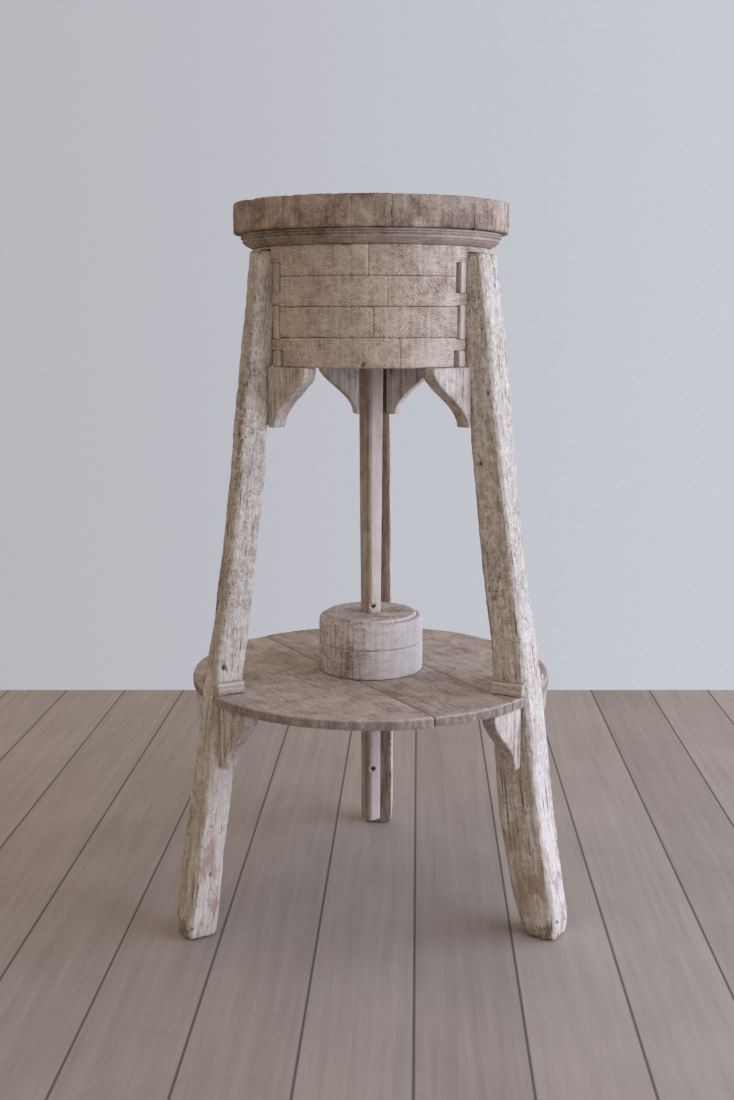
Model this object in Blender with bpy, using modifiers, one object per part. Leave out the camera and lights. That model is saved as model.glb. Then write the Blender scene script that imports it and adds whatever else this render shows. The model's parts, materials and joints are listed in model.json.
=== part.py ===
"""A three-legged sculptor's stand with a turning top that rises on a post.

Three splayed legs hold a drum built from four courses of curved segments.  A
shelf between the legs carries a collar.  A square post slides through the
collar and the drum, and the round top turns on an iron pin in the post's head.

Metres, +Z up.  The origin is on the floor, in the middle of the stand's outline,
so the post's axis stands a little in front of it, at y = AXIS_Y.  The pieces
are placed from the empty on that axis: x and y below are measured from it, and an
azimuth turns from +X towards +Y.
"""
import math

import bmesh
import bpy
from mathutils import Matrix, Vector

NAME = "sculptor_stand"
AXIS_Y = -0.025
GAP = 0.0003            # left between two pieces that touch
ROUND_STEP = 6.0        # degrees between the corners of a round outline
OVERRUN = 0.01          # of a cutter past what it cuts

# Turning top
TOP_Z = 1.098
TOP_RADIUS = 0.207
TOP_THICKNESS = 0.044
TOP_SEAMS = (0.027, 0.144)
TOP_BATTEN = (0.210, 0.040, 0.014)
TOP_BATTEN_Y = 0.082

# Moulding ring under the top
MOULDING_RADII = (0.197, 0.194, 0.179)
MOULDING_BAND = 0.0065
MOULDING_INNER = 0.150
MOULDING_JOINTS = (217.0, 337.0, 97.0)

# Drum
DRUM_TOP = 1.0326
DRUM_BOTTOM = 0.861
DRUM_RADIUS = 0.1795
DRUM_INNER = 0.1325
DRUM_BOARD = 0.020
DRUM_JOINT_TURNS = (13.0, 1.0, 7.0, -1.5)   # of each course's joints, from the middle

# Shelf and the collar on it
SHELF_TOP = 0.3805
SHELF_THICKNESS = 0.0167
SHELF_RADIUS = 0.283
SHELF_TURN = 30.0       # azimuth across the boards
SHELF_SEAMS = (-0.056, 0.082)
SHELF_BATTEN = (0.340, 0.045, 0.018)
SHELF_BATTEN_OFFSET = 0.120
COLLAR_RADIUS = 0.082
COLLAR_JOINT = 0.427
COLLAR_TOP = 0.4724
COLLAR_STEP = 0.011     # from the edge in to the raised top
COLLAR_QUIRK = 0.004    # from the raised top down to the bead
COLLAR_BEAD = 0.0075    # radius of the bead round the edge
COLLAR_BEAD_STEPS = 4
COLLAR_EASE = 0.001     # by which its other edges are eased
CLEAT_HEIGHT = 0.018
CLEAT_THICKNESS = 0.010
CLEAT_COVER = 0.85      # of the leg's radial width

# Post: (height, width across its square section)
POST = ((0.1252, 0.0256), (0.500, 0.0266), (0.800, 0.0300), (DRUM_TOP + GAP, 0.0321))
POST_CHAMFER = 0.004
POST_TURN = 42.3        # degrees, of one face's middle from the front
POST_SLIDE = 0.0012     # clearance round the post in its guides
POST_HEAD_RADIUS = 0.055
PEG_HOLES = (0.4832, 0.2132)
PEG_HOLE_RADIUS = 0.004
PEG_HOLE_X = 0.003
PEG_HOLE_REACH = 0.05   # of its cutter, to each side of the axis
PIN_RADIUS = 0.006
PIN_Z = (0.985, 1.075)
PIN_CLEARANCE = 0.0006

# Legs: azimuth, then (height, radius, radial width, tangential width) of each section
LEG_CHAMFER = 0.0055
LEGS = {
    "front_left": (210.0, (
        (0.000, 0.3085, 0.049, 0.050), (0.030, 0.3075, 0.052, 0.058),
        (0.130, 0.295, 0.047, 0.066), (0.256, 0.275, 0.048, 0.056),
        (0.380, 0.2585, 0.051, 0.047), (0.470, 0.2435, 0.051, 0.040),
        (0.591, 0.2263, 0.046, 0.042), (0.680, 0.2145, 0.047, 0.040),
        (0.856, 0.1965, 0.045, 0.038), (1.0285, 0.1759, 0.043, 0.038))),
    "front_right": (330.0, (
        (0.000, 0.3090, 0.054, 0.052), (0.030, 0.306, 0.064, 0.060),
        (0.080, 0.294, 0.070, 0.060), (0.190, 0.273, 0.071, 0.064),
        (0.317, 0.2605, 0.067, 0.064), (0.440, 0.2495, 0.054, 0.066),
        (0.560, 0.2295, 0.055, 0.055), (0.680, 0.2145, 0.052, 0.057),
        (0.856, 0.1970, 0.047, 0.065), (1.024, 0.1769, 0.047, 0.061))),
    "back": (87.0, (
        (0.000, 0.310, 0.046, 0.048), (0.030, 0.307, 0.050, 0.053),
        (0.150, 0.289, 0.052, 0.054), (0.330, 0.262, 0.050, 0.052),
        (0.500, 0.2385, 0.048, 0.050), (0.680, 0.2140, 0.047, 0.049),
        (0.856, 0.1960, 0.045, 0.048), (1.024, 0.1764, 0.045, 0.047))),
}

# Brackets: length, height, thickness, radius of the outer face at the leg, inward turn
UPPER_BRACKET = (0.077, 0.087, 0.024, 0.186, 17.0)
LOWER_BRACKET = (0.068, 0.0945, 0.023, 0.276, 11.0)
BRACKET_LIP = 0.008     # upright edge at the tip
# Width of the foot of each bracket's curve, by leg
UPPER_TOES = {"front_left": 0.012, "front_right": 0.004, "back": 0.016}
LOWER_TOES = {"front_left": 0.013, "front_right": 0.013, "back": 0.014}
BRACKET_STEPS = 10

# Shims that wedge each leg in its housing: an upright spine with three blocks, which fill
# part of three mortises in the drum's face: (low, high, block thickness, mortise width)
SHIM_INNER, SHIM_SPINE, SHIM_OUTER = 0.1480, 0.1620, 0.1755
SHIM_BLOCK_INNER = 0.1520
SHIM_THICKNESS = 0.0065  # of the spine
SHIM_BLOCKS = ((DRUM_BOTTOM + GAP, 0.8845, 0.0180, 0.0270),
               (0.9015, 0.9490, 0.0150, 0.0205),
               (0.9670, 1.0095, 0.0150, 0.0235))
BURIED = 0.004          # how far a piece runs into a leg before it is cut to fit

COLOURS = {
    "weathered_oak_top": ((0.42, 0.34, 0.27), 0.80, 0.0),
    "weathered_oak_moulding": ((0.40, 0.32, 0.25), 0.75, 0.0),
    "drum_oak": ((0.46, 0.37, 0.28), 0.80, 0.0),
    "flaking_whitewash": ((0.58, 0.54, 0.46), 0.90, 0.0),
    "bracket_oak": ((0.50, 0.40, 0.31), 0.80, 0.0),
    "shelf_oak": ((0.44, 0.35, 0.27), 0.80, 0.0),
    "collar_wood": ((0.45, 0.41, 0.36), 0.80, 0.0),
    "post_wood": ((0.48, 0.38, 0.31), 0.65, 0.0),
    "hidden_pine": ((0.50, 0.38, 0.26), 0.85, 0.0),
    "iron": ((0.12, 0.11, 0.10), 0.55, 1.0),
}


def clear_scene():
    for obj in list(bpy.data.objects):
        bpy.data.objects.remove(obj, do_unlink=True)


def new_collection(name):
    collection = bpy.data.collections.new(name)
    bpy.context.scene.collection.children.link(collection)
    return collection


def new_empty(name, location, parent=None):
    empty = bpy.data.objects.new(name, None)
    empty.location = location
    empty.parent = parent
    parts.objects.link(empty)
    return empty


def material(name):
    """The Principled material of one kind of piece."""
    found = bpy.data.materials.get(name)
    if found:
        return found
    colour, roughness, metallic = COLOURS[name]
    new = bpy.data.materials.new(name)
    new.use_nodes = True
    shader = new.node_tree.nodes["Principled BSDF"]
    shader.inputs["Base Color"].default_value = (*colour, 1.0)
    shader.inputs["Roughness"].default_value = roughness
    shader.inputs["Metallic"].default_value = metallic
    return new


def add_piece(name, mesh, colour, parent):
    """A named sub-part; without a colour it is a cutter."""
    obj = bpy.data.objects.new(name, mesh)
    obj.parent = parent
    if colour:
        obj.data.materials.append(material(colour))
        parts.objects.link(obj)
    else:
        obj.hide_render = True
        obj.display_type = "WIRE"
        cutters.objects.link(obj)
    return obj


def primitive(name, colour, parent, operator, **sizes):
    """A sub-part or cutter from one of the primitive operators."""
    operator(**sizes)
    made = bpy.context.object
    bpy.ops.object.transform_apply(location=False, rotation=False, scale=True)
    mesh, location, rotation = made.data, made.location.copy(), made.rotation_euler.copy()
    bpy.data.objects.remove(made)
    obj = add_piece(name, mesh, colour, parent)
    obj.location = location
    obj.rotation_euler = rotation
    return obj


def box(name, colour, parent, size, centre, turn=0.0):
    return primitive(name, colour, parent, bpy.ops.mesh.primitive_cube_add,
                     size=1.0, scale=size, location=centre,
                     rotation=(0.0, 0.0, math.radians(turn)))


def cylinder(name, colour, parent, radius, z_low, z_high, corners=24):
    obj = primitive(name, colour, parent, bpy.ops.mesh.primitive_cylinder_add,
                    vertices=corners, radius=radius, depth=z_high - z_low,
                    location=(0.0, 0.0, (z_low + z_high) / 2))
    if corners > 8:
        obj.data.shade_smooth()
        obj.data.set_sharp_from_angle(angle=math.radians(40.0))
    return obj


def closed_mesh(mesh):
    """Welds the loose seams of a mesh and turns its faces out."""
    edit = bmesh.new()
    edit.from_mesh(mesh)
    bmesh.ops.remove_doubles(edit, verts=edit.verts, dist=0.00001)
    bmesh.ops.recalc_face_normals(edit, faces=edit.faces)
    edit.to_mesh(mesh)
    edit.free()


def plate(name, colour, parent, outline, thickness, matrix):
    """A board with the given flat outline, centred on the matrix's XY plane."""
    curve = bpy.data.curves.new(name, "CURVE")
    curve.dimensions = "2D"
    curve.fill_mode = "BOTH"
    curve.extrude = thickness / 2
    spline = curve.splines.new("POLY")
    spline.points.add(len(outline) - 1)
    for point, (x, y) in zip(spline.points, outline):
        point.co = (x, y, 0.0, 1.0)
    spline.use_cyclic_u = True
    drawn = bpy.data.objects.new(name + "_outline", curve)
    parts.objects.link(drawn)
    evaluated = drawn.evaluated_get(bpy.context.evaluated_depsgraph_get())
    mesh = bpy.data.meshes.new_from_object(evaluated)
    bpy.data.objects.remove(drawn)
    closed_mesh(mesh)
    obj = add_piece(name, mesh, colour, parent)
    obj.matrix_local = matrix
    return obj


def flat_plate(name, colour, parent, outline, z_low, z_high):
    middle = Matrix.Translation((0.0, 0.0, (z_low + z_high) / 2))
    return plate(name, colour, parent, outline, z_high - z_low, middle)


def turned(name, colour, parent, profile, step=ROUND_STEP):
    """A solid turned about the axis from (radius, z) points, top to bottom outside."""
    mesh = bpy.data.meshes.new(name)
    edges = [(i, i + 1) for i in range(len(profile) - 1)]
    if profile[0][0] > 0.0:
        edges.append((len(profile) - 1, 0))
    mesh.from_pydata([(radius, 0.0, z) for radius, z in profile], edges, [])
    obj = add_piece(name, mesh, colour, parent)
    screw = obj.modifiers.new("turn", "SCREW")
    screw.steps = screw.render_steps = round(360.0 / step)
    screw.use_merge_vertices = True
    screw.merge_threshold = 0.0001
    screw.use_smooth_shade = False
    return obj


def loft(name, colour, parent, sections):
    """A solid through the given rings of points, each ring in the same order."""
    mesh = bpy.data.meshes.new(name)
    edit = bmesh.new()
    rings = [[edit.verts.new(point) for point in ring] for ring in sections]
    edit.faces.new(rings[0])
    edit.faces.new(rings[-1])
    for low, high in zip(rings, rings[1:]):
        for i in range(len(low)):
            edit.faces.new((low[i - 1], low[i], high[i], high[i - 1]))
    bmesh.ops.recalc_face_normals(edit, faces=edit.faces)
    edit.to_mesh(mesh)
    edit.free()
    return add_piece(name, mesh, colour, parent)


def combine(obj, tool, operation="DIFFERENCE"):
    modifier = obj.modifiers.new(operation.lower(), "BOOLEAN")
    modifier.operation = operation
    modifier.object = tool
    modifier.solver = "EXACT"


def polar(radius, azimuth):
    angle = math.radians(azimuth)
    return radius * math.cos(angle), radius * math.sin(angle)


def arc(radius, start, end, step=ROUND_STEP):
    """Points of an arc between two azimuths, ends included."""
    count = max(1, math.ceil(abs(end - start) / step))
    return [polar(radius, start + (end - start) * i / count) for i in range(count + 1)]


def disc_slice(radius, low, high, turn=0.0):
    """The part of a disc between two parallel lines across the azimuth turn."""
    def reach(offset):
        return math.degrees(math.acos(max(-1.0, min(1.0, offset / radius))))
    outline = arc(radius, turn + reach(high), turn + reach(low))
    far = arc(radius, turn - reach(low), turn - reach(high))
    if low <= -radius:
        far = far[1:]
    if high >= radius:
        far = far[:-1]
    return outline + far


def leg_section(leg, height):
    """Radius, radial width and tangential width of a leg at a height."""
    stations = LEGS[leg][1]
    for low, high in zip(stations, stations[1:]):
        if height <= high[0]:
            break
    share = (height - low[0]) / (high[0] - low[0])
    return [a + (b - a) * share for a, b in zip(low[1:], high[1:])]


def leg_ring(height, radius, radial, tangential, grow):
    """A chamfered rectangle, its long way out from the axis along +X."""
    x, y, c = radial / 2 + grow, tangential / 2 + grow, LEG_CHAMFER
    corners = ((x, y - c), (x - c, y), (c - x, y), (-x, y - c),
               (-x, c - y), (c - x, -y), (x - c, -y), (x, c - y))
    return [(radius + dx, dy, height) for dx, dy in corners]


def build_legs():
    """The three legs, and a cutter that is GAP bigger all round each of them."""
    leg_cutters = {}
    for leg, (azimuth, stations) in LEGS.items():
        turn = math.radians(azimuth)
        rings = [leg_ring(*station, 0.0) for station in stations]
        loft("leg_" + leg, "flaking_whitewash", stand, rings).rotation_euler.z = turn
        above = stations[-1][0] + GAP
        tall = stations + ((above, *leg_section(leg, above)),)
        housing = loft("housing_" + leg, None, stand,
                       [leg_ring(*station, GAP) for station in tall])
        housing.rotation_euler.z = turn
        leg_cutters[leg] = housing
    return leg_cutters


def build_drum(leg_cutters, shim_slots):
    """Four courses of three segments; each segment is housed round one leg."""
    height = (DRUM_TOP - DRUM_BOTTOM) / len(DRUM_JOINT_TURNS)
    for course, turn in enumerate(DRUM_JOINT_TURNS):
        low = DRUM_BOTTOM + course * height
        for leg, start in (("front_right", 270.0), ("back", 30.0), ("front_left", 150.0)):
            slack = math.degrees(GAP / DRUM_RADIUS)
            first, last = start + turn + slack, start + turn + 120.0 - slack
            outline = arc(DRUM_RADIUS, first, last) + arc(DRUM_INNER, last, first)
            segment = flat_plate(f"drum_course_{course + 1}_{leg}", "drum_oak", stand,
                                 outline, low + GAP, low + height)
            combine(segment, leg_cutters[leg])
            for slot in shim_slots[leg]:
                combine(segment, slot)
    for name, low in (("drum_top_board", DRUM_TOP - DRUM_BOARD),
                      ("drum_bottom_board", DRUM_BOTTOM + GAP)):
        board = cylinder(name, "hidden_pine", stand, DRUM_INNER - GAP * 2, low,
                         low + DRUM_BOARD, corners=60)
        combine(board, cutters.objects["post_way_upper"])


def shim_cutter(name, leg, low, high, inner, outer, reach):
    """A box across a leg's place in the drum, reaching past both of the leg's sides."""
    azimuth = LEGS[leg][0]
    width = leg_section(leg, (DRUM_TOP + DRUM_BOTTOM) / 2)[2] + 2 * reach
    centre = (*polar((inner + outer) / 2, azimuth), (low + high) / 2)
    return box(name, None, stand, (outer - inner, width, high - low), centre, azimuth)


def build_shim_slots():
    """The drum is hollowed beside each leg for the spines, and mortised for the blocks."""
    slots = {}
    past_face = DRUM_RADIUS + OVERRUN
    past_bottom = DRUM_BOTTOM - OVERRUN
    for leg in LEGS:
        slots[leg] = [shim_cutter(f"shim_channel_{leg}", leg, past_bottom + GAP,
                                  SHIM_BLOCKS[-1][1], SHIM_INNER - GAP, SHIM_SPINE + GAP,
                                  SHIM_THICKNESS + GAP)]
        for number, (low, high, _, width) in enumerate(SHIM_BLOCKS, start=1):
            start = past_bottom if number == 1 else low - GAP
            slots[leg].append(shim_cutter(f"mortise_{leg}_{number}", leg, start, high + GAP,
                                          SHIM_BLOCK_INNER - GAP, past_face, width))
    return slots


def build_shims(leg_cutters):
    """On each side of each leg, a spine with three blocks joined to it."""
    for leg, (azimuth, _) in LEGS.items():
        half = leg_section(leg, (DRUM_TOP + DRUM_BOTTOM) / 2)[2] / 2
        for side, label in ((1, "left"), (-1, "right")):
            def upright(name, colour, low, high, inner, outer, thickness):
                middle = side * (half + (thickness - BURIED) / 2)
                centre = (Matrix.Rotation(math.radians(azimuth), 4, "Z")
                          @ Vector(((inner + outer) / 2, middle, (low + high) / 2)))
                size = (outer - inner, thickness + BURIED, high - low)
                return box(name, colour, stand, size, centre, azimuth)

            shim = upright(f"leg_shim_{leg}_{label}", "bracket_oak", SHIM_BLOCKS[0][0] + GAP,
                           SHIM_BLOCKS[-1][1] - GAP, SHIM_INNER, SHIM_SPINE, SHIM_THICKNESS)
            for number, (low, high, thickness, _) in enumerate(SHIM_BLOCKS, start=1):
                block = upright(f"shim_block_{leg}_{label}_{number}", None, low, high,
                                SHIM_BLOCK_INNER, SHIM_OUTER, thickness)
                combine(shim, block, "UNION")
            combine(shim, leg_cutters[leg])


def bracket_outline(length, height, toe):
    """An ogee bracket: x out from the leg, y down from the board it holds."""
    points = [(0.0, 0.0), (0.0, -height)]
    for i in range(BRACKET_STEPS + 1):
        share = 1.0 - i / BRACKET_STEPS
        swell = 0.5 + 0.5 * math.cos(math.pi * share ** 0.85)
        x = toe + (length - toe) * swell
        points.append((x, -BRACKET_LIP - (height - BRACKET_LIP) * share))
    points.append((length, 0.0))
    return points


def build_brackets(leg_cutters, prefix, sizes, toes, top):
    """Two brackets to a leg, each along a chord of the board over it."""
    length, height, thickness, face, inward = sizes
    for leg, (azimuth, _) in LEGS.items():
        outline = bracket_outline(length, height, toes[leg])
        half = leg_section(leg, top - height / 2)[2] / 2
        out = Vector((*polar(1.0, azimuth), 0.0))
        for side, label in ((1, "left"), (-1, "right")):
            across = Vector((*polar(side, azimuth + 90.0), 0.0))
            turn = math.radians(inward)
            along = across * math.cos(turn) - out * math.sin(turn)
            facing = out * math.cos(turn) + across * math.sin(turn)
            corner = out * face + across * half - facing * (thickness / 2)
            up = Vector((0.0, 0.0, 1.0))
            matrix = Matrix((along, up, along.cross(up))).transposed().to_4x4()
            matrix.translation = corner + up * (top - GAP)
            bracket = plate(f"{prefix}_bracket_{leg}_{label}", "bracket_oak", stand,
                            outline, thickness, matrix)
            combine(bracket, leg_cutters[leg])


def build_shelf(leg_cutters):
    """Three boards notched round the legs, with two battens under them."""
    edges = (-SHELF_RADIUS, *SHELF_SEAMS, SHELF_RADIUS)
    notched = {"left": ("front_left",), "middle": (), "right": ("front_right", "back")}
    for label, low, high in zip(notched, edges, edges[1:]):
        outline = disc_slice(SHELF_RADIUS, low + GAP / 2 * (low > edges[0]),
                             high - GAP / 2 * (high < edges[-1]), SHELF_TURN)
        board = flat_plate("shelf_board_" + label, "shelf_oak", stand, outline,
                           SHELF_TOP - SHELF_THICKNESS, SHELF_TOP)
        for leg in notched[label]:
            combine(board, leg_cutters[leg])
        if label == "middle":
            combine(board, cutters.objects["post_way_lower"])
    for label, side in (("front", 1), ("rear", -1)):
        x, y = polar(side * SHELF_BATTEN_OFFSET, SHELF_TURN - 90.0)
        z = SHELF_TOP - SHELF_THICKNESS - GAP - SHELF_BATTEN[2] / 2
        box("shelf_batten_" + label, "hidden_pine", stand, SHELF_BATTEN, (x, y, z), SHELF_TURN)
    for leg, (azimuth, _) in LEGS.items():
        radius, radial, tangential = leg_section(leg, SHELF_TOP)
        for side, label in ((1, "left"), (-1, "right")):
            matrix = Matrix.Rotation(math.radians(azimuth), 4, "Z")
            middle = (tangential + CLEAT_THICKNESS - BURIED) / 2
            z = SHELF_TOP + GAP + CLEAT_HEIGHT / 2
            centre = matrix @ Vector((radius, side * middle, z))
            size = (radial * CLEAT_COVER, CLEAT_THICKNESS + BURIED, CLEAT_HEIGHT)
            cleat = box(f"shelf_cleat_{leg}_{label}", "bracket_oak", stand, size, centre, azimuth)
            combine(cleat, leg_cutters[leg])


def build_collar():
    """Two turned layers on the shelf; the upper has a quirk and a bead round its top."""
    r, ease = COLLAR_RADIUS, COLLAR_EASE
    foot = SHELF_TOP + GAP
    lower = ((0.0, COLLAR_JOINT), (r - ease, COLLAR_JOINT), (r, COLLAR_JOINT - ease),
             (r, foot + ease), (r - ease, foot), (0.0, foot))
    raised, quirk = r - COLLAR_STEP, COLLAR_TOP - COLLAR_QUIRK
    angles = [math.pi / 2 * i / COLLAR_BEAD_STEPS for i in range(COLLAR_BEAD_STEPS + 1)]
    bead = [(r - COLLAR_BEAD * (1.0 - math.sin(angle)),
             quirk - COLLAR_BEAD * (1.0 - math.cos(angle))) for angle in angles]
    groove = quirk - COLLAR_BEAD
    upper = ((0.0, COLLAR_TOP), (raised, COLLAR_TOP), (raised, quirk + ease),
             (raised - 2 * ease, quirk), (raised + ease / 2, quirk - ease),
             *bead, (r - 1.5 * ease, groove - ease), (r, groove - 3 * ease),
             (r, COLLAR_JOINT + ease), (r - ease, COLLAR_JOINT + GAP),
             (0.0, COLLAR_JOINT + GAP))
    for name, profile in (("collar_lower", lower), ("collar_upper", upper)):
        layer = turned(name, "collar_wood", stand, profile)
        combine(layer, cutters.objects["post_way_lower"])


def post_width(height):
    """Across the square section of the post, at a height."""
    for low, high in zip(POST, POST[1:]):
        if height <= high[0]:
            break
    return low[1] + (high[1] - low[1]) * (height - low[0]) / (high[0] - low[0])


def post_ring(height, width, grow=0.0):
    """The post's square with its corners cut, one face's middle POST_TURN from the front."""
    reach, start = width / 2 + grow, width / 2 - POST_CHAMFER + grow * math.tan(math.radians(22.5))
    turn = Matrix.Rotation(math.radians(POST_TURN - 90.0), 3, "Z")
    ring = []
    for corner in range(4):
        quarter = turn @ Matrix.Rotation(math.pi / 2 * corner, 3, "Z")
        ring += [quarter @ Vector((reach, y, 0.0)) for y in (-start, start)]
    return [(x, y, height) for x, y, _ in ring]


def build_post_ways():
    """Cutters that leave the post room to slide in its guides."""
    for name, bottom, top in (("post_way_upper", DRUM_BOTTOM, DRUM_TOP),
                              ("post_way_lower", SHELF_TOP - SHELF_THICKNESS, COLLAR_TOP)):
        width = post_width(top)
        loft(name, None, stand, [post_ring(height, width, POST_SLIDE)
                                 for height in (bottom - OVERRUN, top + OVERRUN)])


def build_post():
    """The sliding post, its round head and the iron pin the top turns on."""
    shaft = loft("post", "post_wood", post, [post_ring(*station) for station in POST])
    for number, height in enumerate(PEG_HOLES, start=1):
        hole = cylinder(f"peg_hole_{number}", None, post, PEG_HOLE_RADIUS, -PEG_HOLE_REACH,
                        PEG_HOLE_REACH, corners=16)
        hole.location = (PEG_HOLE_X, 0.0, height)
        hole.rotation_euler.x = math.radians(90.0)
        combine(shaft, hole)
    underside = TOP_Z - TOP_THICKNESS
    head = cylinder("post_head", "post_wood", post, POST_HEAD_RADIUS,
                    POST[-1][0] + GAP, underside - GAP, corners=36)
    bore = cylinder("pin_bore", None, post, PIN_RADIUS + GAP, PIN_Z[0] - GAP,
                    underside + OVERRUN, corners=16)
    combine(shaft, bore)
    combine(head, bore)
    cylinder("pivot_pin", "iron", post, PIN_RADIUS, *PIN_Z, corners=16)


def build_top():
    """Three boards edge to edge, two battens under them and the moulding ring."""
    underside = TOP_Z - TOP_THICKNESS
    edges = (-TOP_RADIUS, *TOP_SEAMS, TOP_RADIUS)
    socket = cylinder("pin_socket", None, turntable, PIN_RADIUS + PIN_CLEARANCE,
                      underside - OVERRUN, PIN_Z[1] + PIN_CLEARANCE, corners=16)
    for number, (low, high) in enumerate(zip(edges, edges[1:]), start=1):
        outline = disc_slice(TOP_RADIUS, low + GAP / 2 * (number > 1),
                             high - GAP / 2 * (high < edges[-1]))
        board = flat_plate(f"top_board_{number}", "weathered_oak_top", turntable,
                           outline, underside, TOP_Z)
        if low < 0.0 < high:
            combine(board, socket)
    for label, side in (("front", -1), ("rear", 1)):
        z = underside - GAP - TOP_BATTEN[2] / 2
        box("top_batten_" + label, "hidden_pine", turntable, TOP_BATTEN,
            (0.0, side * TOP_BATTEN_Y, z))
    build_moulding(underside - GAP, DRUM_TOP + GAP)


def build_moulding(top, bottom):
    """The ring under the top, in three lengths that meet at radial joints."""
    wide, middle, narrow = MOULDING_RADII
    profile = ((MOULDING_INNER, top), (wide, top), (wide, top - MOULDING_BAND),
               (middle, top - MOULDING_BAND), (middle, top - 2 * MOULDING_BAND),
               (narrow, bottom), (MOULDING_INNER, bottom))
    slack = math.degrees(GAP / wide)
    for number, start in enumerate(MOULDING_JOINTS, start=1):
        sector = arc(wide + OVERRUN, start + slack, start + 120.0 - slack) + [(0.0, 0.0)]
        wedge = flat_plate(f"moulding_sector_{number}", None, turntable, sector,
                           bottom - OVERRUN, top + OVERRUN)
        length = turned(f"moulding_{number}", "weathered_oak_moulding", turntable, profile)
        combine(length, wedge, "INTERSECT")


clear_scene()
parts = new_collection(NAME)
cutters = new_collection(NAME + "_cutters")
stand = new_empty("stand_axis", (0.0, AXIS_Y, 0.0))
post = new_empty("post_axis", (0.0, 0.0, 0.0), stand)
turntable = new_empty("turntable_axis", (0.0, 0.0, 0.0), post)

build_post_ways()
housings = build_legs()
build_drum(housings, build_shim_slots())
build_shims(housings)
build_brackets(housings, "upper", UPPER_BRACKET, UPPER_TOES, DRUM_BOTTOM)
build_brackets(housings, "lower", LOWER_BRACKET, LOWER_TOES, SHELF_TOP - SHELF_THICKNESS)
build_shelf(housings)
build_collar()
build_post()
build_top()
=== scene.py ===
import json
from itertools import product
from math import cos, pi, radians, sin

import bpy
import numpy as np
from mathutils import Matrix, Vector


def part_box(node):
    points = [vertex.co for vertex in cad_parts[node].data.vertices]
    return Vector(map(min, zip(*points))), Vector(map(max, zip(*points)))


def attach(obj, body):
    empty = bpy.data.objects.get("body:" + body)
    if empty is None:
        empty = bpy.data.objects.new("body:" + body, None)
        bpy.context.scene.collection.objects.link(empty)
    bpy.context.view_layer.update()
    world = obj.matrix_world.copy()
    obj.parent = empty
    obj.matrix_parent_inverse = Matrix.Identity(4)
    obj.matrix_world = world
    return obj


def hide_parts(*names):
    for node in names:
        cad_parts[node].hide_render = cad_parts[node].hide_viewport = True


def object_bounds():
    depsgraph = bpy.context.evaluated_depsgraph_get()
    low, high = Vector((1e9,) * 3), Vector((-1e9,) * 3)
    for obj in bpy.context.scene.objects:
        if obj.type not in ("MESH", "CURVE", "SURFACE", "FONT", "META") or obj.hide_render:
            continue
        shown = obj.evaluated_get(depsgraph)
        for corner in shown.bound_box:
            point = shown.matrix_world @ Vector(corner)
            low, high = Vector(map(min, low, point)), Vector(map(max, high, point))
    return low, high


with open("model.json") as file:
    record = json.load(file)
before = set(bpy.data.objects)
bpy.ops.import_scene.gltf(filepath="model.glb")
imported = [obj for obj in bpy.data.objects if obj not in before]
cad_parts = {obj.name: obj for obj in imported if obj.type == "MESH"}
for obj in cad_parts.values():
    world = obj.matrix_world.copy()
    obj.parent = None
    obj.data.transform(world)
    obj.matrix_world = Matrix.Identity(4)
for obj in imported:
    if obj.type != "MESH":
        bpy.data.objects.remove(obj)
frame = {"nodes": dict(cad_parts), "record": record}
cad_low, cad_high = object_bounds()

TOP_BOARDS = sorted(node for node in frame["nodes"] if node.startswith("top_board_"))

# The stand's upright axis, read from the round top
top_low = Vector(map(min, *(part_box(board)[0] for board in TOP_BOARDS)))
top_high = Vector(map(max, *(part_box(board)[1] for board in TOP_BOARDS)))
AXIS = ((top_low + top_high) / 2).to_2d()

# Which way each leg stands from the axis, in degrees
LEG_AZIMUTHS = {"front_left": 210.0, "front_right": 330.0, "back": 87.0}
SHELF_GRAIN = 120.0      # azimuth that the shelf boards run along
WINDOW_AZIMUTH = -20.0   # the side of the window light; faces turned that way get painted light

# Size of the smallest surface detail of each kind of piece, in metres
FINEST, FINE, SMOOTH, MEDIUM, COARSE = 0.0013, 0.0015, 0.0017, 0.0022, 0.0027


# ---------------------------------------------------------------- numbers

def lattice(cells, seed):
    """A repeatable number between 0 and 1 for each whole-number cell."""
    x, y, z = (cells[:, i].astype(np.int64) for i in range(3))
    mixed = (x * 374761393 + y * 668265263 + z * 2083697 + seed * 974711) & 0x7FFFFFFF
    mixed = ((mixed ^ (mixed >> 13)) * 1274126177) & 0x7FFFFFFF
    return ((mixed ^ (mixed >> 16)) & 0xFFFF) / 65535.0


def noise(points, scale, seed):
    """Smooth noise between -1 and 1, with its cells' sizes set along each axis."""
    places = points * np.asarray(scale, float)
    cells = np.floor(places)
    part = places - cells
    part = part * part * (3 - 2 * part)
    total = np.zeros(len(points))
    for corner in product((0, 1), repeat=3):
        weights = np.where(corner, part, 1 - part).prod(axis=1)
        total += weights * lattice(cells + corner, seed)
    return total * 2 - 1


def fractal(points, scale, seed, octaves=3):
    """Noise with finer and fainter layers of itself on top, between about -1 and 1."""
    scale = np.asarray(scale, float)
    total = sum(noise(points, scale * 2 ** n, seed + n) / 2 ** n for n in range(octaves))
    return total / (2 - 0.5 ** (octaves - 1))


def fade(values, low, high):
    """0 up to low, 1 from high, and smooth between them."""
    part = np.clip((values - low) / (high - low), 0, 1)
    return part * part * (3 - 2 * part)


def smoothed(points, edges, times):
    """The points, each drawn halfway to the mean of its neighbours, a number of times."""
    first, second = edges.T
    size = len(points)
    neighbours = np.bincount(edges.ravel(), minlength=size)[:, None]
    for _ in range(times):
        total = np.stack([
            np.bincount(first, points[second, i], size)
            + np.bincount(second, points[first, i], size) for i in range(3)], axis=1)
        points = (points + total / neighbours) / 2
    return points


# ---------------------------------------------------------------- timber

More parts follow.
